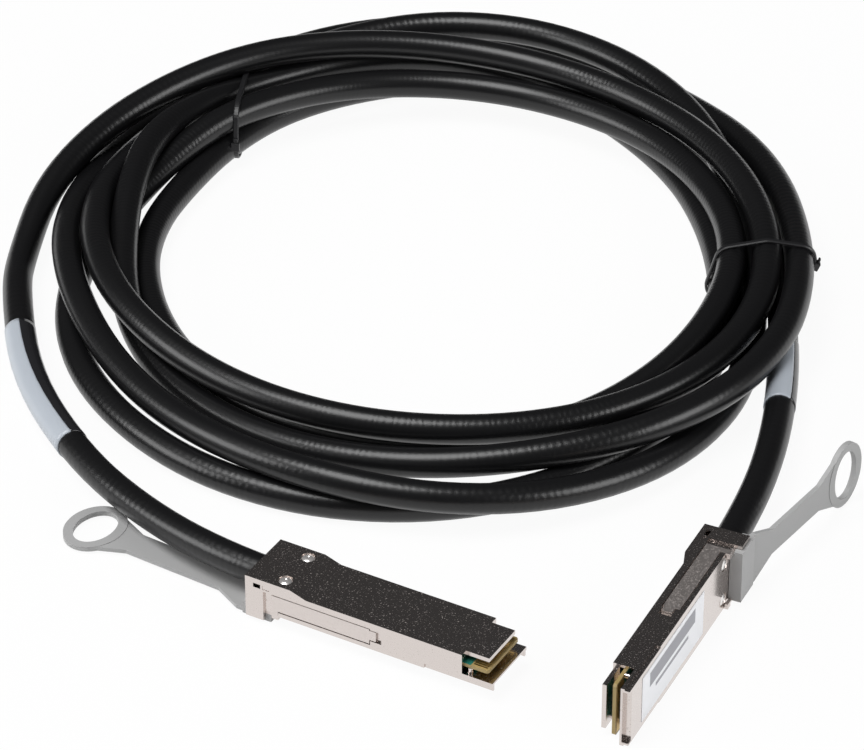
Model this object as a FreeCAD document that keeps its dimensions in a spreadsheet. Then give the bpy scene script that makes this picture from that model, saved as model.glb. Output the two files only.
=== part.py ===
# Direct attach copper cable: two plug ends, each with a sliding latch and pull tab,
# joined by one round jacketed cable that lies in a tied, loose coil.
# All lengths are in millimetres.  Each plug is drawn in its own axes: x runs forward
# and is 0 at the front lip, y runs across, z is 0 on the flat underside of the body.
import FreeCAD
import Part
import Sketcher
import math
import os
import re

doc = FreeCAD.newDocument("direct_attach_cable")
sheet = doc.addObject("Spreadsheet::Sheet", "dims")

SIZES = {
    # plug body
    "plug_length": 75.0,
    "plug_width": 18.35,
    "body_height": 8.5,
    "split_height": 6.6,
    "floor_thickness": 1.0,
    "skin_thickness": 1.2,
    # taller rear block, outside the cage
    "rear_rise": 1.6,
    "rear_drop": 2.9,
    "raised_length": 13.9,
    "ramp_length": 4.9,
    "rear_wall": 6.0,
    "rear_wing_length": 5.5,
    "rear_wing_wall": 1.0,
    # front opening around the card edge
    "nose_setback": 9.1,
    "tongue_setback": 2.2,
    "tongue_width": 13.9,
    "lip_height": 2.5,
    "lip_thickness": 0.6,
    "lip_corner": 0.6,
    "undercut_length": 1.6,
    "rabbet_length": 20.4,
    "rabbet_height": 1.4,
    "rabbet_depth": 0.45,
    "post_radius": 0.75,
    "post_setback": 7.3,
    # inner chambers
    "side_wall": 1.8,
    "card_wall": 0.8,
    "clamp_half_width": 4.6,
    "clamp_length": 16.0,
    "ledge_width": 1.1,
    # paddle card and its contacts
    "card_length": 31.0,
    "card_width": 16.4,
    "card_thickness": 1.0,
    "card_height": 4.4,
    "card_setback": 1.8,
    "card_corner": 0.5,
    "pad_pitch": 0.8,
    "pad_width": 0.54,
    "pad_length": 4.0,
    "pad_setback": 0.7,
    "pad_thickness": 0.06,
    # sliding latch
    "arm_thickness": 0.6,
    "arm_bottom": 1.6,
    "arm_top": 6.3,
    "arm_front": 37.0,
    "arm_recess": 0.75,
    "arm_play": 0.3,
    "finger_bottom": 2.9,
    "finger_top": 5.9,
    "finger_length": 2.0,
    "leg_length": 2.0,
    "latch_travel": 2.3,
    "rail_bottom": 1.7,
    "gap": 0.1,
    # pull tab
    "block_length": 8.9,
    "block_overhang": 1.8,
    "block_drop": 3.7,
    "strap_thickness": 1.2,
    "strap_width": 8.2,
    "strap_flare": 10.0,
    "ring_distance_a": 55.6,
    "ring_distance_b": 48.5,
    "ring_across": 20.0,
    "ring_along": 16.4,
    "hole_across": 15.2,
    "hole_along": 10.8,
    "ring_thickness": 1.5,
    "tab_swing_a": 3.2,
    "tab_swing_b": 1.3,
    "tab_bend_a": 0.0,
    "tab_bend_b": 11.2,
    # rivets, side windows, label
    "rivet_setback": 10.6,
    "rivet_spread": 11.6,
    "rivet_head_radius": 1.9,
    "rivet_shank_radius": 0.8,
    "rivet_head_height": 0.6,
    "rivet_sink": -0.1,
    "window_length": 2.2,
    "window_height": 1.3,
    "window_depth": 3.0,
    "window_setback": 2.5,
    "window_step": 0.6,
    "second_window_depth": 0.15,
    "label_length": 41.5,
    "label_width": 14.2,
    "label_front": 8.5,
    "label_thickness": 0.1,
    # cable
    "cable_radius": 4.35,
    "cable_grip": 8.5,
    "ferrule_length": 5.0,
    "ferrule_radius": 4.1,
    "ferrule_wall": 0.5,
    "pair_radius": 0.72,
    "wrap_thickness": 0.25,
    "wrap_a_start": 93.0,
    "wrap_a_length": 60.5,
    "wrap_b_start": 83.0,
    "wrap_b_length": 32.0,
    # coil
    "hole_half_x": 82.0,
    "hole_half_y": 94.0,
    "band_left": 41.1,
    "band_right": 25.9,
    "band_near": 33.7,
    "band_far": 38.3,
    "coil_height": 19.0,
    "coil_rounding": 7.0,
    "hole_centre_x": -7.2,
    "hole_centre_y": 165.1,
    "hole_turn": 9.6,
    "tie_thickness": 1.2,
    "tie_width": 2.6,
    "tie_left_angle": 127.0,
    "tie_left_turn": 100.0,
    "tie_right_angle": -6.3,
    "tie_right_turn": -4.0,
    # where each plug lies: front lip and turn about the vertical
    "front_a_x": 11.38,
    "front_a_y": -30.33,
    "turn_a": -29.7,
    "front_b_x": 41.48,
    "front_b_y": -56.63,
    "turn_b": -115.0,
}
for row, (alias, number) in enumerate(SIZES.items(), start=1):
    sheet.set("A%d" % row, alias)
    sheet.set("B%d" % row, str(number))
    sheet.setAlias("B%d" % row, alias)
doc.recompute()


def size(alias):
    return float(sheet.get(alias))


def bound(text):
    """Point every size named in an expression at the sheet."""
    def with_sheet(word):
        return "dims." + word.group() if word.group() in SIZES else word.group()

    return re.sub(r"[a-z][a-z_]+", with_sheet, text)


def evaluate(text):
    return float(sheet.evalExpression(bound(text)))


def drive(obj, prop, text):
    obj.setExpression(prop, bound(text))


def box(name, x, y, z):
    obj = doc.addObject("Part::Box", name)
    for prop, low_prop, (low, high) in (("Length", "x", x), ("Width", "y", y), ("Height", "z", z)):
        drive(obj, prop, "(%s) - (%s)" % (high, low))
        drive(obj, "Placement.Base." + low_prop, low)
    return obj


def cylinder(name, radius, length, start, turn="z"):
    """A cylinder from start, along +z or along +x."""
    obj = doc.addObject("Part::Cylinder", name)
    drive(obj, "Radius", radius)
    drive(obj, "Height", length)
    if turn == "x":
        obj.Placement.Rotation = FreeCAD.Rotation(FreeCAD.Vector(0, 1, 0), 90)
    for axis, text in zip("xyz", start):
        drive(obj, "Placement.Base." + axis, text)
    return obj


def join(name, shapes):
    obj = doc.addObject("Part::MultiFuse", name)
    obj.Shapes = shapes
    obj.Refine = True
    return obj


def cut(name, base, tools):
    tool = tools[0]
    if len(tools) > 1:
        tool = join(name + "_tools", tools)
    obj = doc.addObject("Part::Cut", name)
    obj.Base = base
    obj.Tool = tool
    obj.Refine = True
    return obj


def prism(name, plane_turn, points, thickness, start):
    """A polygon whose corners are expressions, extruded evenly about its plane."""
    body = doc.addObject("PartDesign::Body", name)
    sketch = doc.addObject("Sketcher::SketchObject", name + "_sketch")
    body.addObject(sketch)
    sketch.Placement.Rotation = plane_turn
    for axis, text in zip("xyz", start):
        drive(sketch, "Placement.Base." + axis, text)
    count = len(points)
    for i in range(count):
        here = FreeCAD.Vector(*[evaluate(t) for t in points[i]], 0)
        there = FreeCAD.Vector(*[evaluate(t) for t in points[(i + 1) % count]], 0)
        sketch.addGeometry(Part.LineSegment(here, there), False)
    from_origin = {0: "DistanceX", 1: "DistanceY"}
    for i in range(count):
        sketch.addConstraint(Sketcher.Constraint("Coincident", i, 2, (i + 1) % count, 1))
    for i in range(count):
        for k in (0, 1):
            number = evaluate(points[i][k])
            if abs(number) < 1e-9:
                sketch.addConstraint(Sketcher.Constraint("PointOnObject", i, 1,
                                                         -2 if k == 0 else -1))
                continue
            index = sketch.addConstraint(Sketcher.Constraint(from_origin[k], -1, 1, i, 1, number))
            drive(sketch, "Constraints[%d]" % index, points[i][k])
    pad = doc.addObject("PartDesign::Pad", name + "_pad")
    body.addObject(pad)
    pad.Profile = sketch
    pad.Midplane = True
    drive(pad, "Length", thickness)
    body.Tip = pad
    return body


def ellipse_slab(name, half_x, half_y, height, centre, bottom, turn="0"):
    """An upright slab with an elliptical outline."""
    curve = doc.addObject("Part::Ellipse", name + "_curve")
    drive(curve, "MajorRadius", "max(%s; %s)" % (half_x, half_y))
    drive(curve, "MinorRadius", "min(%s; %s)" % (half_x, half_y))
    curve.Placement.Rotation = FreeCAD.Rotation(FreeCAD.Vector(0, 0, 1), 90)
    drive(curve, "Placement.Rotation.Angle", "(%s > %s ? 0 : 90) + %s" % (half_x, half_y, turn))
    for axis, text in zip("xyz", (centre[0], centre[1], bottom)):
        drive(curve, "Placement.Base." + axis, text)
    slab = doc.addObject("Part::Extrusion", name)
    slab.Base = curve
    slab.DirMode = "Custom"
    slab.Dir = FreeCAD.Vector(0, 0, 1)
    drive(slab, "LengthFwd", height)
    slab.Solid = True
    return slab


HALF = "plug_width / 2"
CABLE_HEIGHT = "floor_thickness + cable_radius"
TOP = "(body_height + rear_rise)"
UPRIGHT = FreeCAD.Rotation(FreeCAD.Vector(1, 0, 0), 90)
FLAT = FreeCAD.Rotation()
PAD_COUNT = 19


def both_sides(low, high):
    """The same span on both sides of the plug's middle plane."""
    return ((low, high), ("-(%s)" % high, "-(%s)" % low))


def lower_shell(tag):
    n = "lower_%s_" % tag
    wing_front = "-plug_length + rear_wing_length"
    clamp_front = "-plug_length + rear_wall + clamp_length"
    card_back = "-card_setback - card_length"
    above = "split_height + 1"
    solid = [box(n + "blank", ("-plug_length", "0"), ("-" + HALF, HALF), ("0", "split_height"))]
    for i, y in enumerate(both_sides(HALF + " - rear_wing_wall", HALF)):
        solid.append(box(n + "wing%d" % i, ("-plug_length", wing_front), y,
                         ("-rear_drop", "floor_thickness")))
    tools = [
        box(n + "clamp_room", ("-plug_length + rear_wall", clamp_front),
            ("-clamp_half_width", "clamp_half_width"), ("floor_thickness", above)),
        box(n + "wire_room", (clamp_front, card_back + " + 1"),
            ("-%s + side_wall" % HALF, HALF + " - side_wall"), ("floor_thickness", above)),
        box(n + "card_room", (card_back + " - 1", "-nose_setback + 1"),
            ("-%s + card_wall" % HALF, HALF + " - card_wall"), ("floor_thickness", above)),
        box(n + "nose_cut", ("-nose_setback", "1"), ("-%s - 1" % HALF, HALF + " + 1"),
            ("lip_height", above)),
        cylinder(n + "cable_hole", "cable_radius", "rear_wall + 2",
                 ("-plug_length - 1", "0", CABLE_HEIGHT), "x"),
    ]
    for i, y in enumerate(both_sides(HALF + " - arm_recess", HALF + " + 1")):
        tools.append(box(n + "recess%d" % i, (wing_front, "-arm_front + arm_play"), y,
                         ("arm_bottom - arm_play", above)))
        tools.append(box(n + "finger_room%d" % i,
                         ("-arm_front", "-arm_front + finger_length + 1.7"), y,
                         ("finger_bottom - arm_play", "finger_top + arm_play")))
        tools.append(box(n + "leg_room%d" % i,
                         (wing_front, wing_front + " + latch_travel + leg_length + 3 * gap"), y,
                         ("-1", above)))
    corner = HALF + " - rabbet_depth - lip_corner"
    tools.append(box(n + "undercut", ("-undercut_length", "1"), ("-(%s)" % corner, corner),
                     ("-1", "lip_height - lip_thickness")))
    for i, y in enumerate(both_sides(HALF + " - rabbet_depth", HALF + " + 1")):
        tools.append(box(n + "rabbet%d" % i, ("-rabbet_length", "1"), y, ("-1", "rabbet_height")))
    for i, y in enumerate(("rivet_spread / 2", "-rivet_spread / 2")):
        spot = ("-plug_length + rivet_setback", y, "-1")
        tools.append(cylinder(n + "rivet_hole%d" % i, "rivet_shank_radius", "split_height + 2",
                              spot))
        tools.append(cylinder(n + "rivet_seat%d" % i, "rivet_head_radius + gap",
                              "1 + rivet_head_height + rivet_sink", spot))
    inside = [cut(n + "hollow", join(n + "outer", solid), tools)]
    for i, y in enumerate(both_sides(HALF + " - card_wall - ledge_width", HALF + " - card_wall")):
        inside.append(box(n + "ledge%d" % i, (card_back, "-nose_setback - 3"), y,
                          ("floor_thickness", "card_height")))
    for i, y in enumerate((HALF + " - card_wall - post_radius",
                           "-%s + card_wall + post_radius" % HALF)):
        inside.append(cylinder(n + "post%d" % i, "post_radius",
                               "card_height - floor_thickness - gap",
                               ("-post_setback", y, "floor_thickness")))
    return join("lower_shell_" + tag, inside)


def upper_shell(tag):
    n = "upper_%s_" % tag
    profile = [("-plug_length", "split_height"), ("-nose_setback", "split_height"),
               ("-nose_setback", "body_height"),
               ("-plug_length + raised_length + ramp_length", "body_height"),
               ("-plug_length + raised_length", TOP),
               ("-plug_length", TOP)]
    blank = prism(n + "blank", UPRIGHT, profile, "plug_width", ("0", "0", "0"))
    skin = "body_height - skin_thickness"
    tongue = box(n + "tongue", ("-nose_setback - 2", "-tongue_setback"),
                 ("-tongue_width / 2", "tongue_width / 2"),
                 (skin, "body_height"))
    below = "split_height - 1"
    clamp_front = "-plug_length + rear_wall + clamp_length"
    tools = [
        cylinder(n + "clamp_room", "cable_radius + gap / 2", "raised_length - rear_wall",
                 ("-plug_length + rear_wall", "0", CABLE_HEIGHT), "x"),
        box(n + "front_clamp_room", ("-plug_length + raised_length - 1", clamp_front),
            ("-clamp_half_width", "clamp_half_width"), (below, skin)),
        box(n + "wire_room", (clamp_front, "-nose_setback - skin_thickness"),
            ("-%s + side_wall" % HALF, HALF + " - side_wall"), (below, skin)),
        cylinder(n + "cable_hole", "cable_radius", "rear_wall + 2",
                 ("-plug_length - 1", "0", CABLE_HEIGHT), "x"),
    ]
    for i, y in enumerate(("rivet_spread / 2", "-rivet_spread / 2")):
        tools.append(cylinder(n + "rivet_hole%d" % i, "rivet_shank_radius", "body_height",
                              ("-plug_length + rivet_setback", y, below)))
        tools.append(cylinder(n + "rivet_seat%d" % i, "rivet_head_radius + gap", "2",
                              ("-plug_length + rivet_setback", y,
                               TOP + " - rivet_head_height - rivet_sink")))
    for i, y in enumerate(both_sides(HALF + " - window_depth", HALF + " + 1")):
        tools.append(box(n + "window%d" % i,
                         ("-plug_length + window_setback",
                          "-plug_length + window_setback + window_length"),
                         y, ("body_height - window_height", "body_height")))
    second_front = "-plug_length + window_setback + 2 * window_length + window_step"
    for i, y in enumerate(both_sides(HALF + " - second_window_depth", HALF + " + 1")):
        tools.append(box(n + "outline%d" % i, (second_front + " - window_length", second_front), y,
                         ("body_height - window_height", "body_height")))
    return cut("upper_shell_" + tag, join(n + "outer", [blank, tongue]), tools)


def paddle_card(tag):
    half = "card_width / 2"
    front = "-card_setback"
    back = "-card_setback - card_length"
    outline = [(back, "-" + half), (front + " - card_corner", "-" + half),
               (front, "-%s + card_corner" % half),
               (front, half + " - card_corner"), (front + " - card_corner", half), (back, half)]
    return prism("paddle_card_" + tag, FLAT, outline, "card_thickness",
                 ("0", "0", "card_height + card_thickness / 2"))


def contact_pads(tag):
    pads = []
    front = "-card_setback - pad_setback"
    levels = (("card_height + card_thickness", "card_height + card_thickness + pad_thickness"),
              ("card_height - pad_thickness", "card_height"))
    for side, z in enumerate(levels):
        for i in range(PAD_COUNT):
            middle = "%d * pad_pitch" % (i - PAD_COUNT // 2)
            pads.append(box("pad_%s_%d_%02d" % (tag, side, i), (front + " - pad_length", front),
                            (middle + " - pad_width / 2", middle + " + pad_width / 2"), z))
    group = doc.addObject("Part::Compound", "contact_pads_" + tag)
    group.Links = pads
    return group


def latch_arms(tag):
    n = "latch_%s_" % tag
    leg_back = "-plug_length + rear_wing_length + latch_travel + 2 * gap"
    leg_front = leg_back + " + leg_length"
    outer = HALF + " - arm_recess + gap + arm_thickness"
    rail_outer = HALF + " - rear_wing_wall - gap"
    rail_z = ("-rear_drop + rail_bottom", "-gap - 0.2")
    pieces = []
    for i, y in enumerate(both_sides(HALF + " - arm_recess + gap", outer)):
        pieces.append(box(n + "plate%d" % i, (leg_back, "-arm_front"), y,
                          ("arm_bottom", "arm_top")))
        pieces.append(box(n + "finger%d" % i, ("-arm_front - 1", "-arm_front + finger_length"), y,
                          ("finger_bottom", "finger_top")))
        pieces.append(box(n + "leg%d" % i, (leg_back, leg_front), y,
                          ("-rear_drop + rail_bottom", "arm_bottom + 1")))
    for i, y in enumerate(both_sides(rail_outer + " - arm_thickness", outer)):
        pieces.append(box(n + "step%d" % i, (leg_back, leg_front), y, rail_z))
    for i, y in enumerate(both_sides(rail_outer + " - arm_thickness", rail_outer)):
        pieces.append(box(n + "rail%d" % i, ("-plug_length + gap", leg_front), y, rail_z))
    pieces.append(box(n + "bridge", ("-plug_length + gap", "-plug_length + gap + arm_thickness"),
                      ("-(%s)" % rail_outer, rail_outer), rail_z))
    return join("latch_arms_" + tag, pieces)


def pull_tab(tag, arms):
    """Grip block around the latch bridge, with a flared strap that ends in an oval ring."""
    n = "tab_%s_" % tag
    block_back = "-plug_length - block_overhang"
    block_half = HALF + " - rear_wing_wall - 2 * gap"
    reach = "block_overhang - ring_distance_%s" % tag
    block = box(n + "block", (block_back, block_back + " + block_length"),
                ("-(%s)" % block_half, block_half),
                ("-block_drop", "-gap"))
    half = "strap_width / 2"
    waist = "-strap_flare"
    neck = reach + " + ring_along / 2 + strap_flare / 2"
    shoulder = reach + " + ring_along / 4"
    outline = [("1", "-(%s)" % block_half), ("-1.5", "-(%s)" % block_half), (waist, "-" + half),
               (neck, "-" + half),
               (shoulder, "-ring_across * 0.4"), (shoulder, "ring_across * 0.4"), (neck, half),
               (waist, half),
               ("-1.5", block_half), ("1", block_half)]
    strap = prism(n + "strap", FLAT, outline, "strap_thickness", ("0", "0", "0"))
    centre = (reach, "0", "-ring_thickness / 2")
    rim = ellipse_slab(n + "rim", "ring_along / 2", "ring_across / 2", "ring_thickness", centre[:2],
                       centre[2])
    hole = ellipse_slab(n + "hole", "hole_along / 2", "hole_across / 2", "ring_thickness + 2",
                        centre[:2],
                        "-ring_thickness / 2 - 1")
    handle = cut(n + "handle", join(n + "loop", [strap, rim]), [hole])
    handle.Placement = FreeCAD.Placement(
        FreeCAD.Vector(evaluate(block_back), 0,
                       evaluate("-block_drop + ring_thickness / 2 + 4 * gap")),
        FreeCAD.Rotation(FreeCAD.Vector(0, 1, 0), -evaluate("tab_bend_" + tag))
        * FreeCAD.Rotation(FreeCAD.Vector(0, 0, 1), -evaluate("tab_swing_" + tag)))
    return cut("pull_tab_" + tag, join(n + "moulding", [block, handle]), [arms])


def rivet(tag, number, y):
    n = "rivet_%s%d_" % (tag, number)
    x = "-plug_length + rivet_setback"
    top = TOP + " - rivet_sink"
    shank = cylinder(n + "shank", "rivet_shank_radius", top + " - rivet_sink", (x, y, "rivet_sink"))
    foot = cylinder(n + "foot", "rivet_head_radius", "rivet_head_height", (x, y, "rivet_sink"))
    head = cylinder(n + "head", "rivet_head_radius", "rivet_head_height",
                    (x, y, top + " - rivet_head_height"))
    return join("rivet_%s%d" % (tag, number), [foot, shank, head])


def crimp_ferrule(tag):
    n = "ferrule_%s_" % tag
    back = "-plug_length + cable_grip"
    tube = cylinder(n + "tube", "ferrule_radius", "ferrule_length", (back, "0", CABLE_HEIGHT), "x")
    bore = cylinder(n + "bore", "ferrule_radius - ferrule_wall", "ferrule_length + 2",
                    (back + " - 1", "0", CABLE_HEIGHT), "x")
    return cut("crimp_ferrule_" + tag, tube, [bore])


def wire_pairs(tag):
    """Eight shielded pairs, four over and four under the card, fanning out from the ferrule."""
    wires = []
    pair_radius = size("pair_radius")
    start_x = -size("plug_length") + size("cable_grip") + 1
    end_x = -size("card_setback") - size("card_length") + 2.5
    for row, side in enumerate((1, -1)):
        card_face = size("card_height") + (size("card_thickness") if side > 0 else 0)
        for i in range(4):
            spread = i - 1.5
            start = FreeCAD.Vector(start_x, spread * 2.1 * pair_radius,
                                   evaluate(CABLE_HEIGHT) + side * 1.05 * pair_radius)
            end = FreeCAD.Vector(end_x, spread * 4.0, card_face + side * 1.1 * pair_radius)
            wire = doc.addObject("Part::Cylinder", "pair_%s_%d%d" % (tag, row, i))
            drive(wire, "Radius", "pair_radius")
            wire.Height = (end - start).Length
            wire.Placement = FreeCAD.Placement(start, FreeCAD.Rotation(FreeCAD.Vector(0, 0, 1),
                                                                       end - start))
            wires.append(wire)
    group = doc.addObject("Part::Compound", "wire_pairs_" + tag)
    group.Links = wires
    return group


def plug_label(tag):
    back = "-label_front - label_length"
    half = "label_width / 2"
    outline = [(back, "-" + half), ("-label_front", "-" + half), ("-label_front", half),
               (back, half)]
    return prism("plug_label_" + tag, FLAT, outline, "label_thickness",
                 ("0", "0", "-label_thickness / 2"))


def build_plug(tag):
    arms = latch_arms(tag)
    made = [lower_shell(tag), upper_shell(tag), paddle_card(tag), contact_pads(tag), arms,
            pull_tab(tag, arms),
            rivet(tag, 1, "rivet_spread / 2"), rivet(tag, 2, "-rivet_spread / 2"),
            crimp_ferrule(tag),
            wire_pairs(tag), plug_label(tag)]
    return made


plug_a = build_plug("a")
plug_b = build_plug("b")
doc.recompute()


def place(made, pose, settled):
    """Move a plug's pieces from the pose they were last given to a new one."""
    for obj in made:
        obj.Placement = pose * settled.inverse() * obj.Placement


# Plug a lies on its grip block; plug b stands on its narrow side.
pose_a = FreeCAD.Placement(
    FreeCAD.Vector(size("front_a_x"), size("front_a_y"), size("block_drop")),
    FreeCAD.Rotation(FreeCAD.Vector(0, 0, 1), size("turn_a")))
pose_b = FreeCAD.Placement(
    FreeCAD.Vector(size("front_b_x"), size("front_b_y"), size("plug_width") / 2),
    FreeCAD.Rotation(FreeCAD.Vector(0, 0, 1),
                     size("turn_b")) * FreeCAD.Rotation(FreeCAD.Vector(1, 0, 0), 90))
place(plug_a, pose_a, FreeCAD.Placement())
place(plug_b, pose_b, FreeCAD.Placement())
doc.recompute()

# The frame's origin is the middle of the plugs' footprint, on the floor.
footprint = FreeCAD.BoundBox()
for obj in plug_a + plug_b:
    footprint.add(obj.Shape.BoundBox)
centring = FreeCAD.Placement(FreeCAD.Vector(-footprint.Center.x, -footprint.Center.y, 0),
                             FreeCAD.Rotation())
print("plugs' box centre", footprint.Center, "floor", footprint.ZMin)
place(plug_a, centring * pose_a, pose_a)
place(plug_b, centring * pose_b, pose_b)
pose_a = centring * pose_a
pose_b = centring * pose_b
for axis in "xy":
    moved = size("hole_centre_" + axis) + getattr(centring.Base, axis)
    sheet.set("hole_centre_" + axis, str(moved))
doc.recompute()


def cord_path(points):
    """Straight runs joined by tangent arcs; prints the arc radii."""
    runs = [points[i + 1] - points[i] for i in range(len(points) - 1)]
    edges = []
    last = points[0]
    radii = []
    for i in range(1, len(points) - 1):
        half_turn = runs[i - 1].getAngle(runs[i]) / 2
        setback = 0.45 * min(runs[i - 1].Length, runs[i].Length)
        radii.append(setback / math.tan(half_turn))
        back = FreeCAD.Vector(runs[i - 1]).normalize()
        ahead = FreeCAD.Vector(runs[i]).normalize()
        enter = points[i] - back * setback
        leave = points[i] + ahead * setback
        bisector = (ahead - back).normalize()
        centre = points[i] + bisector * (radii[-1] / math.cos(half_turn))
        middle = centre - bisector * radii[-1]
        edges.append(Part.makeLine(last, enter))
        edges.append(Part.Arc(enter, middle, leave).toShape())
        last = leave
    edges.append(Part.makeLine(last, points[-1]))
    print("arc radii", ["%.0f" % r for r in radii], "length %.1f" % sum(e.Length for e in edges))
    return edges


def tube(name, points, radius):
    """A round cord along the path, as a sweep of a circle set square to its start."""
    edges = cord_path(points)
    spine = doc.addObject("Part::Feature", name + "_route")
    spine.Shape = Part.Wire(edges)
    ring = doc.addObject("Part::Circle", name + "_section")
    drive(ring, "Radius", radius)
    ring.Placement = FreeCAD.Placement(points[0], FreeCAD.Rotation(FreeCAD.Vector(0, 0, 1),
                                                                   points[1] - points[0]))
    sweep = doc.addObject("Part::Sweep", name)
    sweep.Sections = [ring]
    sweep.Spine = (spine, ["Edge%d" % (i + 1) for i in range(len(edges))])
    sweep.Solid = True
    return sweep


def cable_start(pose):
    """Where the jacket ends inside the plug, and a point straight behind the plug."""
    inside = FreeCAD.Vector(evaluate("-plug_length + cable_grip"), 0, evaluate(CABLE_HEIGHT))
    behind = FreeCAD.Vector(evaluate("-plug_length - 9"), 0, evaluate(CABLE_HEIGHT))
    return [pose.multVec(inside), pose.multVec(behind)]


LEAD_A = [(-84.3, 32.9, 7.2), (-105.6, 61.9, 6.2), (-124.1, 103.9, 5.6), (-130.1, 148.9, 5.6)]
LEAD_B = [(83.8, 55.9, 8.8), (90.8, 96.9, 7.5), (92.8, 140.9, 6.5)]
route_a = cable_start(pose_a) + [centring.multVec(FreeCAD.Vector(*p)) for p in LEAD_A]
route_b = cable_start(pose_b) + [centring.multVec(FreeCAD.Vector(*p)) for p in LEAD_B]
lead_a = tube("cable_lead_a", route_a, "cable_radius")
lead_b = tube("cable_lead_b", route_b, "cable_radius")


def along(route, distance):
    """The point at a distance along a route's straight runs."""
    for here, there in zip(route, route[1:]):
        run = there - here
        if distance <= run.Length:
            break
        distance -= run.Length
    return here + run * (distance / run.Length)


def wrap(name, route, start, length):
    """A label wrapped round a lead: a thin sleeve over the stretch between two planes."""
    over = tube(name + "_over", route, "cable_radius + wrap_thickness")
    under = tube(name + "_under", route, "cable_radius")
    low = along(route, start)
    chord = along(route, start + length) - low
    reach = 6 * size("cable_radius")
    stretch = doc.addObject("Part::Box", name + "_stretch")
    stretch.Length = chord.Length
    stretch.Width = reach
    stretch.Height = reach
    spin = FreeCAD.Rotation(FreeCAD.Vector(0, 0, 1), math.degrees(math.atan2(chord.y, chord.x)))
    corner = spin.multVec(FreeCAD.Vector(0, -reach / 2, -reach / 2))
    stretch.Placement = FreeCAD.Placement(low + corner, spin)
    piece = doc.addObject("Part::Common", name + "_piece")
    piece.Base = over
    piece.Tool = stretch
    return cut(name, piece, [under])


label_a = wrap("cable_label_a", route_a, size("wrap_a_start"), size("wrap_a_length"))
label_b = wrap("cable_label_b", route_b, size("wrap_b_start"), size("wrap_b_length"))


OUTER_X = "hole_half_x + (band_left + band_right) / 2"
OUTER_Y = "hole_half_y + (band_near + band_far) / 2"
COIL_CENTRE = ("hole_centre_x + (band_right - band_left) / 2",
               "hole_centre_y + (band_far - band_near) / 2")


def coil_ring(name, grow):
    """The coil's outer shape: an oval slab with an off-centre oval hole and rounded edges."""
    lift = "tie_thickness - %s" % grow
    tall = "coil_height + 2 * %s" % grow
    outer = ellipse_slab(name + "_outer", "%s + %s" % (OUTER_X, grow), "%s + %s" % (OUTER_Y, grow),
                         tall,
                         COIL_CENTRE, lift)
    inner = ellipse_slab(name + "_inner", "hole_half_x - " + grow, "hole_half_y - " + grow,
                         tall + " + 2",
                         ("hole_centre_x", "hole_centre_y"), lift + " - 1", "hole_turn")
    slab = cut(name + "_slab", outer, [inner])
    doc.recompute()
    rounded = doc.addObject("Part::Fillet", name)
    rounded.Base = slab
    radius = evaluate("coil_rounding + " + grow)
    rims = [i + 1 for i, e in enumerate(slab.Shape.Edges) if e.BoundBox.ZLength < 0.01]
    rounded.Edges = [(i, radius, radius) for i in rims]
    return rounded


coil_outline = coil_ring("coil_outline", "0")
coil = cut("cable_coil", coil_outline, [lead_a, lead_b, label_a, label_b])
over_outline = coil_ring("over_outline", "tie_thickness")
tie_skin = cut("tie_skin", over_outline, [coil_outline])


def tie(name, angle, turn):
    """A thin strap round the coil at an angle about its middle, in a plane of its own turn."""
    across = math.radians(angle)
    middle = FreeCAD.Vector(
        evaluate("hole_centre_x + (band_right - band_left) / 4")
        + evaluate("hole_half_x + (band_left + band_right) / 4") * math.cos(across),
        evaluate("hole_centre_y + (band_far - band_near) / 4")
        + evaluate("hole_half_y + (band_near + band_far) / 4") * math.sin(across),
        0)
    band = doc.addObject("Part::Box", name + "_band")
    drive(band, "Length", OUTER_Y)
    drive(band, "Width", "tie_width")
    drive(band, "Height", "3 * coil_height")
    doc.recompute()
    spin = FreeCAD.Rotation(FreeCAD.Vector(0, 0, 1), turn)
    corner = FreeCAD.Vector(-band.Length.Value / 2, -band.Width.Value / 2, -size("coil_height"))
    band.Placement = FreeCAD.Placement(middle + spin.multVec(corner), spin)
    strap = doc.addObject("Part::Common", name)
    strap.Base = tie_skin
    strap.Tool = band
    return strap


tie_left = tie("cable_tie_left", size("tie_left_angle"), size("tie_left_turn"))
tie_right = tie("cable_tie_right", size("tie_right_angle"), size("tie_right_turn"))

doc.recompute()

handed = plug_a + plug_b + [lead_a, coil, lead_b, label_a, label_b, tie_left, tie_right]

for obj in doc.Objects:
    if {"Invalid", "Error"} & set(obj.State):
        raise SystemExit("%s did not compute: %s" % (obj.Label, obj.State))

os.makedirs("parts", exist_ok=True)
for obj in handed:
    if obj.Shape.isNull() or not obj.Shape.isValid():
        raise SystemExit(obj.Label + " has no valid shape")
    obj.Shape.exportStep("parts/%s.step" % obj.Label)
    print("%-18s solids %d volume %.1f" % (obj.Label, len(obj.Shape.Solids), obj.Shape.Volume))
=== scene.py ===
import math

import bpy
import numpy as np
from mathutils import Matrix, Vector

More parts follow.
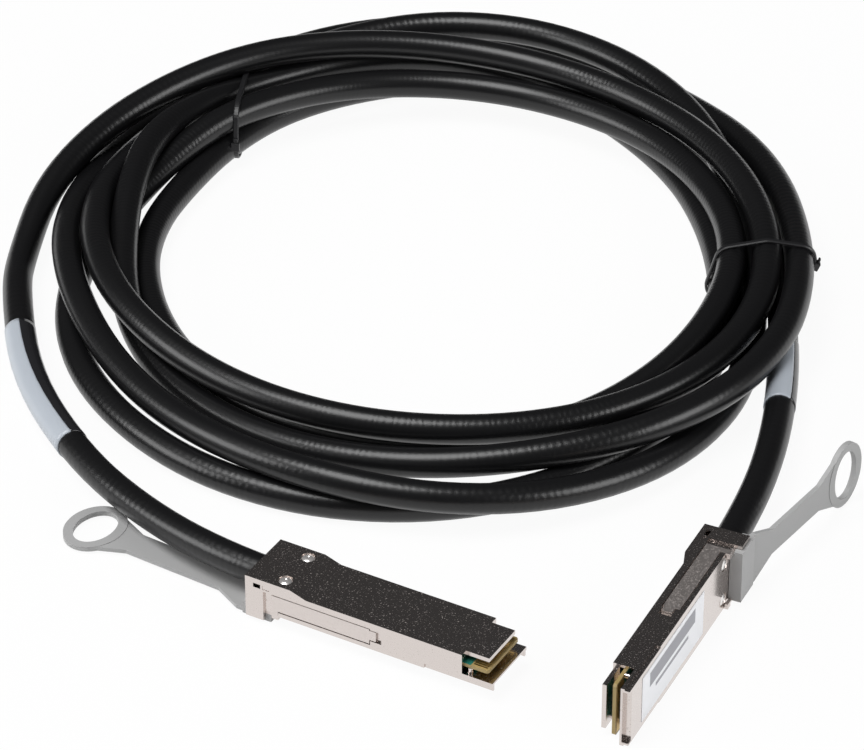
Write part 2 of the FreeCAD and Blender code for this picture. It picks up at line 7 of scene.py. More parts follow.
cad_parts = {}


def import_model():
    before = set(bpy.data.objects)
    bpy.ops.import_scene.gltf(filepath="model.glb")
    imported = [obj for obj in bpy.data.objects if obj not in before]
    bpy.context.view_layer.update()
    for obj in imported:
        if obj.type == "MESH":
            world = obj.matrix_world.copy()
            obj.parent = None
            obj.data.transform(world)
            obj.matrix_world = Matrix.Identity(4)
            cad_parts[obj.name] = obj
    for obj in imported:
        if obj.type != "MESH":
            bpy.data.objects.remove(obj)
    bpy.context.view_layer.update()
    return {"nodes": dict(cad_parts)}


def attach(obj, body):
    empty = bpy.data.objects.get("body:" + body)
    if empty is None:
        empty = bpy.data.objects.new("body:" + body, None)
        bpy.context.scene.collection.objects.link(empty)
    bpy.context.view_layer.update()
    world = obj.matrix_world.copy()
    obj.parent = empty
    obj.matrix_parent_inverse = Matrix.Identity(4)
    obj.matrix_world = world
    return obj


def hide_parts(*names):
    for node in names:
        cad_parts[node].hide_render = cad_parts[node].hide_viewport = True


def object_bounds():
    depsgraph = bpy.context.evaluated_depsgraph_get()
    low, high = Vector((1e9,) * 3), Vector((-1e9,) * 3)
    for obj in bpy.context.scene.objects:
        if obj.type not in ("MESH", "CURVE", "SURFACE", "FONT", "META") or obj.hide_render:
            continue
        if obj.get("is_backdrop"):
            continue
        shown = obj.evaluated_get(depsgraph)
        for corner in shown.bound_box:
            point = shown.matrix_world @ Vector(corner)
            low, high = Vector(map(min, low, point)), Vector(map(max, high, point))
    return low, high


MM = 0.001
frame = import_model()
scene = bpy.context.scene


# ---------------------------------------------------------------- camera
CAMERA_PLACE = (-0.0092, -1.0078, 0.7641)
LOOK_DOWN = math.radians(34.285)
TURN_RIGHT = 0.0004
cam_data = bpy.data.cameras.new("camera")
cam_data.sensor_width = 36.0
cam_data.lens = 197.6
cam_data.clip_start = 0.05
cam_data.clip_end = 30.0
camera = bpy.data.objects.new("camera", cam_data)
camera.location = CAMERA_PLACE
camera.rotation_euler = (math.pi / 2 - LOOK_DOWN, 0, -TURN_RIGHT)
scene.collection.objects.link(camera)
scene.camera = camera
scene.view_settings.view_transform = "Standard"


# ---------------------------------------------------------------- helpers
def new_object(name, data):
    """A new object that rides on the part's main body."""
    obj = bpy.data.objects.new(name, data)
    scene.collection.objects.link(obj)
    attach(obj, "cable")
    return obj


def mesh_object(name, verts, faces, material, smooth=True):
    data = bpy.data.meshes.new(name)
    data.from_pydata([tuple(v) for v in verts], [], faces)
    data.validate()
    data.update()
    data.materials.append(material)
    for poly in data.polygons:
        poly.use_smooth = smooth
    return new_object(name, data)


def ease(obj, width, steps, angle):
    """Rounds the edges that are sharper than an angle, with a width in mm."""
    bevel = obj.modifiers.new("eased", "BEVEL")
    bevel.width = width * MM
    bevel.segments = steps
    bevel.limit_method = "ANGLE"
    bevel.angle_limit = math.radians(angle)
    bevel.harden_normals = False


def shader(name, color, rough, metal=0.0, **sockets):
    """A Principled material; the keyword arguments set more of its sockets."""
    mat = bpy.data.materials.new(name)
    mat.use_nodes = True
    bsdf = mat.node_tree.nodes["Principled BSDF"]
    bsdf.inputs["Base Color"].default_value = (*color, 1.0)
    bsdf.inputs["Roughness"].default_value = rough
    bsdf.inputs["Metallic"].default_value = metal
    for key, value in sockets.items():
        bsdf.inputs[key.replace("_", " ")].default_value = value
    return mat


def add(mat, kind, **props):
    node = mat.node_tree.nodes.new(kind)
    for key, value in props.items():
        setattr(node, key, value)
    return node


def link(mat, source, target):
    mat.node_tree.links.new(source, target)


def surface(mat):
    return mat.node_tree.nodes["Principled BSDF"]


def grain(mat, scale, strength, depth, detail=4.0):
    """Adds a fine noise bump, with its depth in mm, to a material and returns the noise node."""
    place = add(mat, "ShaderNodeTexCoord")
    noise = add(mat, "ShaderNodeTexNoise")
    noise.inputs["Scale"].default_value = scale
    noise.inputs["Detail"].default_value = detail
    bump = add(mat, "ShaderNodeBump")
    bump.inputs["Strength"].default_value = strength
    bump.inputs["Distance"].default_value = depth * MM
    link(mat, place.outputs["Object"], noise.inputs["Vector"])
    link(mat, noise.outputs["Fac"], bump.inputs["Height"])
    link(mat, bump.outputs["Normal"], surface(mat).inputs["Normal"])
    return noise


def remap(mat, source, low, high, to_low, to_high):
    """Maps one range of a node's value onto another."""
    node = add(mat, "ShaderNodeMapRange")
    for key, value in (("From Min", low), ("From Max", high), ("To Min", to_low), ("To Max", to_high)):
        node.inputs[key].default_value = value
    link(mat, source, node.inputs["Value"])
    return node.outputs["Result"]


# ---------------------------------------------------------------- where each plug lies
def lie(x, y, z, turn, tip):
    """A plug's own axes in the CAD frame, placed in mm and turned in degrees.

    Its x points forward and is 0 at its front lip, and its z points up from its underside.
    """
    return (Matrix.Translation((x * MM, y * MM, z * MM)) @ Matrix.Rotation(math.radians(turn), 4, "Z")
            @ Matrix.Rotation(math.radians(tip), 4, "X"))


PLUGS = {"a": lie(11.38, -30.33, 3.7, -29.7, 0), "b": lie(41.48, -56.63, 9.175, -115, 90)}


# ---------------------------------------------------------------- materials
# How strong a metal's bump is, and how deep in mm.
SPECK_STRENGTH, SPECK_DEPTH = 0.12, 0.04


def metal(name, color, rough, speck_rough, scale, low, high, metallic=1.0):
    """Plated metal with fine specks: it grows rougher as its noise goes from low to high."""
    mat = shader(name, color, rough, metallic)
    noise = grain(mat, scale, SPECK_STRENGTH, SPECK_DEPTH, detail=2.0)
    specks = remap(mat, noise.outputs["Fac"], low, high, rough, speck_rough)
    link(mat, specks, surface(mat).inputs["Roughness"])
    return mat


nickel = metal("nickel", (0.68, 0.62, 0.59), 0.15, 0.60, 2400, 0.60, 0.72)
steel = metal("spring_steel", (0.68, 0.62, 0.59), 0.30, 0.60, 2600, 0.50, 0.70, 0.9)
rivet_steel = shader("rivet_steel", (0.90, 0.87, 0.85), 0.28, 0.8)
tab_grey = shader("tab_grey", (0.37, 0.37, 0.37), 0.55)
grain(tab_grey, 1800, 0.10, 0.05)
gold = shader("gold_pads", (0.78, 0.56, 0.22), 0.30, 1.0)
foil = shader("pair_foil", (0.6, 0.6, 0.62), 0.3, 1.0)
tinned = shader("tinned", (0.55, 0.55, 0.56), 0.35, 1.0)
paper = shader("paper", (0.88, 0.89, 0.92), 0.35)
sleeve_white = shader("sleeve_white", (0.41, 0.445, 0.49), 0.30)
film = shader("sleeve_film", (0.016, 0.016, 0.018), 0.16)
nylon = shader("tie_nylon", (0.010, 0.010, 0.011), 0.40)
field_grey = shader("field_grey", (0.33, 0.33, 0.36), 0.5)
jacket = shader("jacket", (0.005, 0.005, 0.0055), 0.31, Specular_IOR_Level=0.46)

# The card's two colours, and how far behind the plug's front lip the solder mask begins, in mm.
LAMINATE, SOLDER_MASK = (0.34, 0.25, 0.10), (0.015, 0.16, 0.12)
MASK_EDGE = 7.0


def card_look(name, plug):
    """Laminate, tan at its bare edges and front, and green where solder mask lies on its two faces."""
    mat = shader(name, LAMINATE, 0.42)
    place = add(mat, "ShaderNodeNewGeometry")

    def along(socket, axis):
        dot = add(mat, "ShaderNodeVectorMath", operation="DOT_PRODUCT")
        dot.inputs[1].default_value = axis
        link(mat, place.outputs[socket], dot.inputs[0])
        return dot.outputs["Value"]

    ahead, up = plug.col[0].to_3d(), plug.col[2].to_3d()
    masked = add(mat, "ShaderNodeMath", operation="GREATER_THAN")
    masked.inputs[1].default_value = MASK_EDGE * MM - ahead.dot(plug.translation)
    link(mat, along("Position", -ahead), masked.inputs[0])
    flat = add(mat, "ShaderNodeMath", operation="ABSOLUTE")
    link(mat, along("True Normal", up), flat.inputs[0])
    both = add(mat, "ShaderNodeMath", operation="MULTIPLY")
    link(mat, masked.outputs[0], both.inputs[0])
    link(mat, flat.outputs[0], both.inputs[1])
    mix = add(mat, "ShaderNodeMix", data_type="RGBA")
    mix.inputs["A"].default_value = (*LAMINATE, 1)
    mix.inputs["B"].default_value = (*SOLDER_MASK, 1)
    link(mat, both.outputs[0], mix.inputs["Factor"])
    link(mat, mix.outputs["Result"], surface(mat).inputs["Base Color"])
    return mat


# How far each part's sharp edges are eased in mm, in how many steps, and from what angle in degrees.
EDGES = {"lower_shell": (0.14, 2), "upper_shell": (0.18, 2), "paddle_card": (0.06, 1),
         "latch_arms": (0.08, 1), "pull_tab": (0.35, 3)}
SHARP = 38


def dress(part, tag, mat):
    """Gives a CAD node its finish, and eases its sharp edges."""
    obj = frame["nodes"]["%s_%s" % (part, tag)]
    obj.data.materials.clear()
    obj.data.materials.append(mat)
    if part in EDGES:
        ease(obj, *EDGES[part], SHARP)
        even = obj.modifiers.new("even", "WEIGHTED_NORMAL")
        even.keep_sharp = False


for tag in "ab":
    for part, mat in (("lower_shell", nickel), ("upper_shell", nickel), ("latch_arms", steel),
                      ("pull_tab", tab_grey), ("paddle_card", card_look("board_" + tag, PLUGS[tag])),
                      ("contact_pads", gold), ("crimp_ferrule", tinned), ("wire_pairs", foil),
                      ("plug_label", paper)):
        dress(part, tag, mat)


# ---------------------------------------------------------------- rivets with domed, dimpled heads
# In mm: how far a head's underside lies below the CAD head's top, the shank's radius, and the
# dimple's outline as radius and depth below that top. The dome starts at a radius outside the
# dimple, stands a little proud of that top there, and falls towards its rim.
HEAD_HEIGHT, SHANK_RADIUS = 0.62, 0.8
DIMPLE = [(0.0, 0.16), (0.25, 0.15), (0.42, 0.05)]
DOME_START, DOME_FALL, DOME_PROUD, DOME_STEPS = 0.5, 0.52, 0.05, 8
SECTORS = 40


def rivet(node, plug):
    """A turned rivet in place of the plain one: its two heads are domed and dimpled in their seats."""
    back = plug.inverted()
    corners = np.array([back @ v.co for v in frame["nodes"][node].data.vertices])
    middle_x, middle_y, _ = (corners.min(axis=0) + corners.max(axis=0)) / 2
    bottom, top = corners[:, 2].min() / MM, corners[:, 2].max() / MM
    radius = (corners[:, 0].max() - corners[:, 0].min()) / 2 / MM
    dome = [(DOME_START + (radius - DOME_START) * t, DOME_FALL * t ** 2 - DOME_PROUD)
            for t in np.linspace(0, 1, DOME_STEPS + 1)]
    under = [(radius, HEAD_HEIGHT), (SHANK_RADIUS, HEAD_HEIGHT)]
    half = [(r, top - depth) for r, depth in DIMPLE + dome + under]
    profile = half + [(r, bottom + top - z) for r, z in reversed(half)]
    turns_round = [2 * math.pi * i / SECTORS for i in range(SECTORS)]
    verts = [plug @ Vector((middle_x + r * MM * math.cos(a), middle_y + r * MM * math.sin(a), z * MM))
             for r, z in profile[1:-1] for a in turns_round]
    last = len(profile) - 3
    faces = []
    for k in range(last):
        for i in range(SECTORS):
            a, b = k * SECTORS + i, k * SECTORS + (i + 1) % SECTORS
            faces.append((a, a + SECTORS, b + SECTORS, b))
    for ring, height in ((0, profile[0][1]), (last, profile[-1][1])):
        verts.append(plug @ Vector((middle_x, middle_y, height * MM)))
        for i in range(SECTORS):
            pair = (ring * SECTORS + i, ring * SECTORS + (i + 1) % SECTORS)
            faces.append((len(verts) - 1, *(pair if ring == 0 else pair[::-1])))
    turned = mesh_object(node + "_turned", verts, faces, rivet_steel)
    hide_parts(node)


for tag in "ab":
    for number in "12":
        rivet("rivet_%s%s" % (tag, number), PLUGS[tag])


# ---------------------------------------------------------------- plain fields on the plug labels
# Each field's back, front and two sides, and the heights of its two faces, in mm on the plug.
FIELDS = {"block": (-44.0, -13.5, 0.9, 5.4), "line": (-39.5, -17.5, -1.5, -0.4)}
FIELD_FACES = (-0.13, -0.10)
BOX_SIDES = [(0, 1, 2, 3), (7, 6, 5, 4), (0, 4, 5, 1), (1, 5, 6, 2), (2, 6, 7, 3), (3, 7, 4, 0)]
for tag in "ab":
    for field, (back, front, left, right) in FIELDS.items():
        corners = [PLUGS[tag] @ (Vector((x, y, z)) * MM) for z in FIELD_FACES for x, y in
                   ((back, left), (front, left), (front, right), (back, right))]
        printed = mesh_object("field_%s_%s" % (field, tag), corners, BOX_SIDES, field_grey, smooth=False)


# ---------------------------------------------------------------- the cable's route
# The cable's radius and the coil's middle, in mm.
JACKET = 4.35
COIL_MIDDLE = np.array([-10.9, 166.2])
# The uncoiled stretches in metres, as in part.py to 0.1 mm: out of plug a, and into plug b.
LEAD_A = [(-0.0464, 0.0026, 0.00905), (-0.0616, 0.0113, 0.00905), (-0.0843, 0.0329, 0.0072),
          (-0.1056, 0.0619, 0.0062), (-0.1241, 0.1039, 0.0056), (-0.1301, 0.1489, 0.0056)]
LEAD_B = [(0.0928, 0.1409, 0.0065), (0.0908, 0.0969, 0.0075), (0.0838, 0.0559, 0.0088),
          (0.0721, 0.0218, 0.009175), (0.0647, 0.0059, 0.009175)]
# One row for each turn of the coil, clockwise from its left side: the strand's distance from the
# coil's middle and its height, in mm, every 45 degrees. They weren't chosen by hand: a scratch
# program placed and settled strands that were traced over the photo, and its figures were rounded.
# Then 17 of the 45 distances were changed, by 1 to 4 mm.
TURNS = [
    [(118, 5), (106, 17), (98, 20), (96, 16), (100, 16), (106, 13), (98, 13), (93, 13)],
    [(96, 15), (104, 6), (131, 12), (110, 13), (95, 5), (118, 4), (133, 10), (109, 7)],
    [(104, 13), (114, 4), (138, 8), (112, 4), (106, 12), (122, 15), (109, 8), (97, 5)],
    [(88, 12), (99, 14), (106, 13), (93, 5), (85, 4), (104, 4), (126, 4), (118, 6)],
    [(102, 4), (88, 13), (90, 12), (88, 11), (90, 12), (95, 9), (95, 4), (88, 4)],
    [(83, 4), (91, 4), (104, 4), (108, 4), (104, 4)],
]
STEP = math.radians(15)
STEPS_PER_KNOT = 3

# Each tie's plane stands on the floor line between two points; in mm, like its strap's size.
TIES = {"left": ((-64.0, 270.0), (-70.5, 208.0)), "right": ((66.0, 152.2), (112.0, 152.2))}
STRAP_THICK, STRAP_WIDE = 0.8, 1.7

# How the turns settle in each round: how far they sink in mm, the share of each kink that is taken
# out, and the share by which they return to where the rows above put them.
SINK, STIFFNESS, HOLD = 0.006, 0.1, 0.02
ROUNDS, QUICK_ROUNDS = 250, 60
# In mm: what the strands keep from the floor, from each other and from the straps, the most that
# they are pushed in a round, and how far beside a strap they are still lifted by it.
FLOOR_GAP, STRAND_GAP, STRAP_GAP = 0.05, 0.15, 0.25
BIGGEST_PUSH, STRAP_REACH = 0.6, 20.0
# Strands are compared in this many pieces to each stretch, and never within so many pieces of
# each other along the cable.
FINER, NEIGHBOURS = 4, 12


def coil_turns():
    """The coil's turns as points every 15 degrees, eased from each direction to the next."""
    knots = np.array([knot for turn in TURNS for knot in turn], float)
    knots = np.vstack([2 * knots[0] - knots[1], knots, 2 * knots[-1] - knots[-2]])
    points = []
    for step in range(STEPS_PER_KNOT * (len(knots) - 3) + 1):
        k = min(step // STEPS_PER_KNOT, len(knots) - 4)
        t = step / STEPS_PER_KNOT - k
        a, b, c, d = knots[k:k + 4]
        reach, height = b + t / 2 * (c - a + t * (2 * a - 5 * b + 4 * c - d + t * (3 * (b - c) + d - a)))
        angle = math.pi - STEP * step
        # the spline runs a little inside its points
        reach *= 8 / (6 + 2 * math.cos(STEP))
        place = COIL_MIDDLE + (reach * math.cos(angle), reach * math.sin(angle))
        points.append((*place, max(height, JACKET)))
    return np.array(points)


def tie_axes():
    """Each tie line's first point, its direction, its length and the direction across it."""
    start = np.array([ends[0] for ends in TIES.values()])
    along = np.array([ends[1] for ends in TIES.values()]) - start
    span = np.linalg.norm(along, axis=1)
    along /= span[:, None]
    return start, along, span, along[:, ::-1] * (-1, 1)


def finer(route):
    """The route with more points between each two."""
    line = np.empty((FINER * (len(route) - 1) + 1, 3))
    for part in range(FINER):
        line[part::FINER] = route[:len(line[part::FINER])] * (1 - part / FINER)
        if part:
            line[part::FINER] += route[1:] * (part / FINER)
    return line


def coarser(moves, size):
    """What the moves of a finer line come to at the route's own points."""
    shift = np.zeros((size, 3))
    for part in range(FINER):
        share = moves[part::FINER]
        shift[:len(share)] += share * (1 - part / FINER)
        if part:
            shift[1:] += share * (part / FINER)
    return shift


def pushed_apart(line):
    """How each point of the line moves, so that strands that meet part sideways."""
    apart = 2 * JACKET + STRAND_GAP
    ahead = np.zeros_like(line)
    ahead[1:-1] = line[2:] - line[:-2]
    ahead[0], ahead[-1] = line[1] - line[0], line[-1] - line[-2]
    ahead /= np.linalg.norm(ahead, axis=1)[:, None]
    gaps = np.linalg.norm(line[:, None] - line[None], axis=2)
    index = np.arange(len(line))
    first, second = np.nonzero((gaps < apart) & (index[None] - index[:, None] > NEIGHBOURS))
    across = line[first] - line[second]
    across -= (across * ahead[first]).sum(1)[:, None] * ahead[first]
    width = np.linalg.norm(across, axis=1)
    share = np.clip((apart - width) / 2, 0, BIGGEST_PUSH)
    push = across / np.maximum(width, 1e-6)[:, None] * share[:, None]
    moves, hits = np.zeros_like(line), np.ones(len(line))
    for ends, way in ((first, push), (second, -push)):
        np.add.at(moves, ends, way)
        np.add.at(hits, ends, 1)
    return moves / hits[:, None]


def strap_rise(points, ties):
    """How high the straps that pass under the strands lift them off the floor."""
    rise = np.zeros(len(points))
    for start, along, span, square in ties:
        off = points[:, :2] - start
        inside = np.abs(off @ along - span / 2) <= span / 2
        near = np.exp(-(off @ square / STRAP_REACH) ** 2)
        rise = np.maximum(rise, (STRAP_THICK + STRAP_GAP) * near * inside)
    return rise


def settle(turns, rounds):
    """Lets the turns sink towards the floor, and parts strands that meet, round by round."""
    lead_a, lead_b = np.array(LEAD_A) / MM, np.array(LEAD_B) / MM
    ties = list(zip(*tie_axes()))
    points = turns.copy()
    for _ in range(rounds):
        points[:, 2] -= SINK
        bend = (-points[:-4] + 4 * points[1:-3] + 4 * points[3:-1] - points[4:]) / 6 - points[2:-2]
        points[2:-2] += STIFFNESS * bend
        points += HOLD * (turns - points)
        route = np.vstack([lead_a, points, lead_b])
        points += coarser(pushed_apart(finer(route)), len(route))[len(lead_a):-len(lead_b)]
        points[:, 2] = np.maximum(points[:, 2], JACKET + FLOOR_GAP + strap_rise(points, ties))
    return points


turns = settle(coil_turns(), ROUNDS)
route = np.vstack([LEAD_A, turns * MM, LEAD_B])

curve = bpy.data.curves.new("cable", "CURVE")
curve.dimensions = "3D"
curve.resolution_u = 6
curve.bevel_depth = JACKET * MM
curve.bevel_resolution = 6
curve.use_fill_caps = True
spline = curve.splines.new("NURBS")
spline.points.add(len(route) - 1)
for point, place in zip(spline.points, route):
    point.co = (*place, 1.0)
spline.order_u = 3
spline.use_endpoint_u = True
curve.materials.append(jacket)
cable = new_object("cable_jacket", curve)
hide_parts("cable_lead_a", "cable_coil", "cable_lead_b")


def centreline():
    """Points along the cable's middle, read from the curve with no thickness."""
    thin = curve.copy()
    thin.bevel_depth = 0.0
    probe = bpy.data.objects.new("probe", thin)
    scene.collection.objects.link(probe)
    bpy.context.view_layer.update()
    mesh = bpy.data.meshes.new_from_object(probe.evaluated_get(bpy.context.evaluated_depsgraph_get()))
    line = np.array([v.co for v in mesh.vertices])
    bpy.data.objects.remove(probe)
    bpy.data.curves.remove(thin)
    bpy.data.meshes.remove(mesh)
    return line


middle = centreline()
steps = np.linalg.norm(np.diff(middle, axis=0), axis=1)
travel = np.concatenate([[0.0], np.cumsum(steps)])
cable_length = float(travel[-1])
print("cable length %.3f m" % cable_length)


# ---------------------------------------------------------------- fine ribs in the jacket
# The rings' spacing and depth in mm and the strength of their bump, how unevenly they run, and the
# scale and detail of the two noises: one that makes them uneven and one that makes patches.
RIB, RIB_DEPTH, RIB_STRENGTH = 1.9, 0.12, 0.22
UNEVENNESS = 9.0
WOBBLE, PATCHES = (260, 3.0), (17, 2.0)
# The patches' noise from low to high, and how strong the rings are at each.
PATCH_NOISE, PATCH_STRENGTH = (0.42, 0.62), (0.12, 0.55)


def rib_jacket(mat):
    """Fine uneven rings round the cable, deeper in some patches than in others."""
    place = add(mat, "ShaderNodeTexCoord")
    noises = []
    for scale, detail in (WOBBLE, PATCHES):
        noise = add(mat, "ShaderNodeTexNoise")
        noise.inputs["Scale"].default_value = scale
        noise.inputs["Detail"].default_value = detail
        link(mat, place.outputs["Object"], noise.inputs["Vector"])
        noises.append(noise.outputs["Fac"])
    wobble, patch = noises
    split = add(mat, "ShaderNodeSeparateXYZ")
    link(mat, place.outputs["UV"], split.inputs[0])
    count = add(mat, "ShaderNodeMath", operation="MULTIPLY")
    count.inputs[1].default_value = 2 * math.pi * cable_length / (RIB * MM)
    link(mat, split.outputs["X"], count.inputs[0])
    uneven = add(mat, "ShaderNodeMath", operation="MULTIPLY_ADD")
    uneven.inputs[1].default_value = UNEVENNESS
    link(mat, wobble, uneven.inputs[0])
    link(mat, count.outputs[0], uneven.inputs[2])
    wave = add(mat, "ShaderNodeMath", operation="SINE")
    link(mat, uneven.outputs[0], wave.inputs[0])
    total = add(mat, "ShaderNodeMath", operation="MULTIPLY_ADD")
    link(mat, wave.outputs[0], total.inputs[0])
    link(mat, remap(mat, patch, *PATCH_NOISE, *PATCH_STRENGTH), total.inputs[1])
    link(mat, wobble, total.inputs[2])
    ribs = add(mat, "ShaderNodeBump")
    ribs.inputs["Strength"].default_value = RIB_STRENGTH
    ribs.inputs["Distance"].default_value = RIB_DEPTH * MM
    link(mat, total.outputs[0], ribs.inputs["Height"])
    link(mat, ribs.outputs["Normal"], surface(mat).inputs["Normal"])


rib_jacket(jacket)


# ---------------------------------------------------------------- labels wrapped round the cable
# Each label's two ends along the cable in mm, from plug a or, below zero, back from plug b, and
# its two edges round the cable in degrees: from straight up, towards the left of the way along.
LABELS = {"a": (93.0, 153.5, 3.0, 165.0), "b": (-115.0, -83.0, -150.0, 40.0)}
LABEL_THICK, FILM_THICK, LABEL_SUNK = 0.25, 0.15, 0.1
# Each label's clear film goes the rest of the way round, over this many degrees of the white.
FILM_LAP = 2
LABEL_STEPS, LABEL_SECTORS = 36, 28


def place_at(distance):
    """The cable's middle at a distance along it in mm, and its direction there."""
    k = int(np.clip(np.searchsorted(travel, distance * MM), 1, len(middle) - 1))
    share = (distance * MM - travel[k - 1]) / (travel[k] - travel[k - 1])
    ahead = middle[min(k + 1, len(middle) - 1)] - middle[k - 2]
    return middle[k - 1] * (1 - share) + middle[k] * share, ahead / np.linalg.norm(ahead)


def wrap(name, start, end, low, high, thick, mat):
    """A thin strip round the cable between two distances along it and two angles about it."""
    verts, faces = [], []
    sunk = JACKET - LABEL_SUNK
    for i in range(LABEL_STEPS + 1):
        centre, ahead = place_at(start + (end - start) * i / LABEL_STEPS)
        left = np.cross((0, 0, 1.0), ahead)
        left /= np.linalg.norm(left)
        up = np.cross(ahead, left)
        ring = [(sunk, low)]
        ring += [(JACKET + thick, low + (high - low) * k / LABEL_SECTORS) for k in range(LABEL_SECTORS + 1)]
        ring += [(sunk, high)]
        for reach, angle in ring:
            a = math.radians(angle)
            verts.append(centre + (up * math.cos(a) + left * math.sin(a)) * reach * MM)
    size = LABEL_SECTORS + 3
    for i in range(LABEL_STEPS):
        for k in range(size - 1):
            a = i * size + k
            faces.append((a, a + 1, a + size + 1, a + size))
    # the two end rims go down into the jacket
    for i, distance, way in ((0, start, 1), (LABEL_STEPS, end, -1)):
        base = len(verts)
        centre, _ = place_at(distance)
        for k in range(LABEL_SECTORS + 1):
            edge = verts[i * size + 1 + k]
            verts.append(centre + (edge - centre) * (sunk / (JACKET + thick)))
        for k in range(LABEL_SECTORS):
            a, b = i * size + 1 + k, base + k
            faces.append((a, b, b + 1, a + 1)[::way])
    return mesh_object(name, verts, faces, mat)


for tag, (start, end, low, high) in LABELS.items():
    base = cable_length / MM if start < 0 else 0.0
    white = wrap("sleeve_" + tag, base + start, base + end, low, high, LABEL_THICK, sleeve_white)
    clear = wrap("sleeve_film_" + tag, base + start, base + end,
                 high - FILM_LAP, low + 360 + FILM_LAP, FILM_THICK, film)
    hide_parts("cable_label_" + tag)


# ---------------------------------------------------------------- cable ties
# The height above which strands lie over a tie, and where its head sits along its line, in mm.
TIE_TOPS = {"left": 17.0, "right": 40.0}
TIE_HEADS = {"left": 49.0, "right": 40.0}
# The head and the cut tail: their two ends along the strap, half their width, bottom and top, in mm.
HEAD, TAIL = (-1.3, 1.3, 1.3, 0.2, 2.0), (1.2, 2.6, 0.7, 0.9, 1.5)
# How far above the strap's lowest point the head is best, and what a mm of height counts for there.
HEAD_LIFT, HEIGHT_COUNTS = 6.0, 0.4
# In mm: the strap's slack, the least height of its inner face above its thickness, and its cut edges.
STRAP_SLACK, STRAP_LIFT, STRAP_EDGE = 0.05, 0.1, 0.3
STRAP_EASE = (0.2, 2, 50)
# A strand that crosses a tie at a slant is taken for this many times its own width at most.
WIDEST_CUT = 2
STRAP_STATIONS, RIM_POINTS = 150, 32
BLOCK_SIDES = ((0, 1, 3, 2), (4, 6, 7, 5), (0, 4, 5, 1), (2, 3, 7, 6), (0, 2, 6, 4), (1, 5, 7, 3))


def crossings(start, along, span, across):
    """Where strands cross a tie's plane: distance along it, height and how much wider they are cut."""
    line = middle / MM
    side = (line[:, :2] - start) @ across
    found = []
    for i in np.nonzero(side[:-1] * side[1:] < 0)[0]:
        t = side[i] / (side[i] - side[i + 1])
        spot = line[i] * (1 - t) + line[i + 1] * t
        ahead = line[i + 1] - line[i]
        ahead /= np.linalg.norm(ahead)
        reach = (spot[:2] - start) @ along
        if 0 < reach < span:
            found.append((reach, spot[2], 1 / max(1 / WIDEST_CUT, abs(ahead[:2] @ across))))
    return found


def hull(points):
    """The corners of the smallest convex outline round the points, anticlockwise."""
    def half(order):
        chain = []
        for p in order:
            while len(chain) > 1 and (chain[-1][0] - chain[-2][0]) * (p[1] - chain[-2][1]) <= (
                    chain[-1][1] - chain[-2][1]) * (p[0] - chain[-2][0]):
                chain.pop()
            chain.append(p)
        return chain[:-1]

    ordered = sorted(points)
    return np.array(half(ordered) + half(ordered[::-1]))


def evenly(outline):
    """Points at even distances round a closed outline, and the outward direction at each."""
    closed = np.vstack([outline, outline[:1]])
    lengths = np.concatenate([[0], np.cumsum(np.linalg.norm(np.diff(closed, axis=0), axis=1))])
    at = np.linspace(0, lengths[-1], STRAP_STATIONS + 1)[:-1]
    path = np.column_stack([np.interp(at, lengths, closed[:, i]) for i in (0, 1)])
    tangent = np.roll(path, -1, axis=0) - np.roll(path, 1, axis=0)
    tangent /= np.linalg.norm(tangent, axis=1)[:, None]
    return path, tangent, np.column_stack([tangent[:, 1], -tangent[:, 0]])


def strap(side, axes):
    """A flat strap drawn tight round the strands that lie inside a tie, with its head and a cut tail."""
    start, along, span, across = axes
    inner = JACKET + STRAP_SLACK
    rims = []
    for reach, height, wide in crossings(*axes):
        if height < TIE_TOPS[side]:
            rims += [(reach + inner * wide * math.cos(a), height + inner * math.sin(a))
                     for a in np.linspace(0, 2 * math.pi, RIM_POINTS + 1)[:-1]]
    outline = hull(rims)
    outline[:, 1] = np.maximum(outline[:, 1], STRAP_THICK + STRAP_LIFT)
    path, tangent, outward = evenly(outline)

    def world(point, over):
        flat = start + along * point[0] + across * over
        return (flat[0] * MM, flat[1] * MM, point[1] * MM)

    half, thick, edge = STRAP_WIDE / 2, STRAP_THICK, STRAP_EDGE
    section = [(-half, 0), (-half, thick - edge), (-half + edge, thick), (half - edge, thick),
               (half, thick - edge), (half, 0)]
    verts = [world(p + n * out, over) for p, n in zip(path, outward) for over, out in section]
    size = len(section)
    faces = []
    for i in range(STRAP_STATIONS):
        a, b = i * size, (i + 1) % STRAP_STATIONS * size
        faces += [(a + m, a + (m + 1) % size, b + (m + 1) % size, b + m) for m in range(size)]
    # the head sits low where the strap is nearest to the wanted place, and the tail goes on past it
    lift = np.abs(path[:, 1] - (path[:, 1].min() + HEAD_LIFT))
    wanted = np.argmin(np.abs(path[:, 0] - TIE_HEADS[side]) + HEIGHT_COUNTS * lift)
    spot, ahead, out = path[wanted], tangent[wanted], outward[wanted]
    for low, high, wide, bottom, top in (HEAD, TAIL):
        base = len(verts)
        for u in (low, high):
            for over in (-wide, wide):
                for height in (bottom, top):
                    verts.append(world(spot + ahead * u + out * height, over))
        faces += [tuple(base + corner for corner in quad) for quad in BLOCK_SIDES]
    made = mesh_object("strap_" + side, verts, faces, nylon, smooth=False)
    ease(made, *STRAP_EASE)
    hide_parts("cable_tie_" + side)
    return made


straps = [strap(side, axes) for side, axes in zip(TIES, zip(*tie_axes()))]


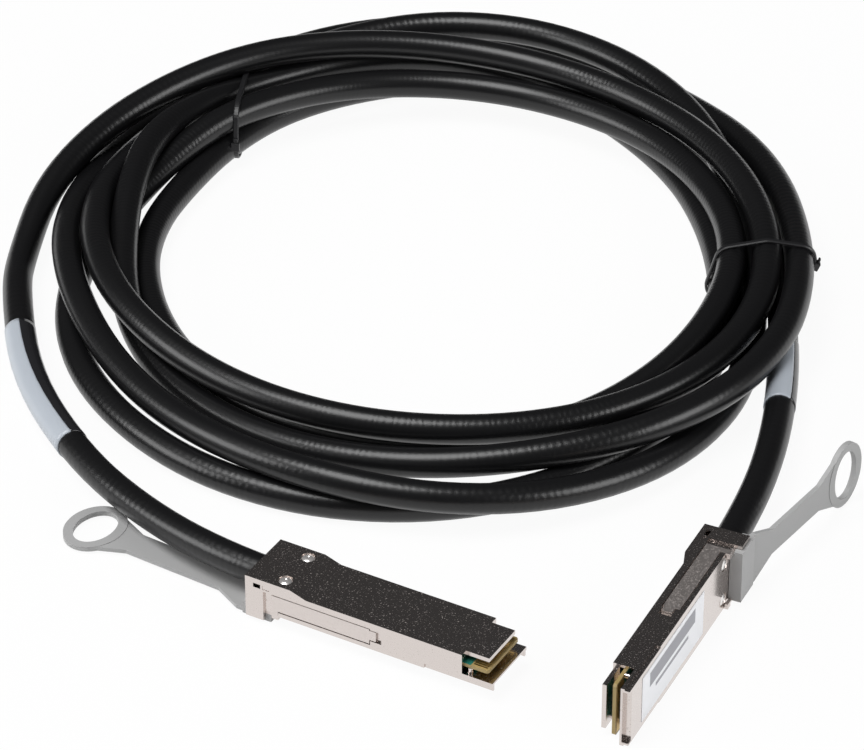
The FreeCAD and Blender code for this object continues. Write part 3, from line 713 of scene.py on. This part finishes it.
# ---------------------------------------------------------------- stage
def softbox(name, place, aim, size, power):
    lamp = bpy.data.lights.new(name, "AREA")
    lamp.shape = "RECTANGLE"
    lamp.size, lamp.size_y = size
    lamp.energy = power
    obj = bpy.data.objects.new(name, lamp)
    obj.location = place
    obj.rotation_euler = (Vector(aim) - Vector(place)).to_track_quat("-Z", "Y").to_euler()
    scene.collection.objects.link(obj)


# The floor's radius and how far it lies below the part, in metres, and how white it looks.
FLOOR_RADIUS, FLOOR_DROP = 4.0, 0.0004
WHITE_SHARE = 0.94


def pale_floor():
    """A plain floor that looks white to the camera and in reflections, and keeps the object's shadow."""
    mat = shader("floor_white", (0.80, 0.80, 0.80), 0.9)
    rays = add(mat, "ShaderNodeLightPath").outputs
    seen = rays["Is Camera Ray"]
    for kind in ("Is Glossy Ray", "Is Transmission Ray"):
        either = add(mat, "ShaderNodeMath", operation="MAXIMUM")
        link(mat, seen, either.inputs[0])
        link(mat, rays[kind], either.inputs[1])
        seen = either.outputs[0]
    share = add(mat, "ShaderNodeMath", operation="MULTIPLY")
    share.inputs[1].default_value = WHITE_SHARE
    link(mat, seen, share.inputs[0])
    white = add(mat, "ShaderNodeEmission")
    white.inputs["Color"].default_value = (1, 1, 1, 1)
    both = add(mat, "ShaderNodeMixShader")
    link(mat, share.outputs[0], both.inputs["Fac"])
    link(mat, surface(mat).outputs[0], both.inputs[1])
    link(mat, white.outputs[0], both.inputs[2])
    link(mat, both.outputs[0], mat.node_tree.nodes["Material Output"].inputs["Surface"])
    bpy.ops.mesh.primitive_circle_add(vertices=96, radius=FLOOR_RADIUS, fill_type="NGON",
                                      location=(0, 0, -FLOOR_DROP))
    floor = bpy.context.object
    floor.name = "floor"
    floor.data.materials.append(mat)
    floor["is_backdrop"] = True


pale_floor()
world = bpy.data.worlds.new("world")
world.use_nodes = True
world.node_tree.nodes["Background"].inputs["Color"].default_value = (0.55, 0.55, 0.56, 1)
world.node_tree.nodes["Background"].inputs["Strength"].default_value = 0.09
scene.world = world
softbox("key", (-0.7, -0.3, 2.1), (0, 0.1, 0), (1.3, 1.3), 42)
softbox("left", (-2.0, -0.2, 0.9), (0, 0.1, 0), (1.2, 1.0), 22)
softbox("right", (1.9, -0.9, 0.9), (0, 0.0, 0), (1.2, 1.2), 26)

low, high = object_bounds()
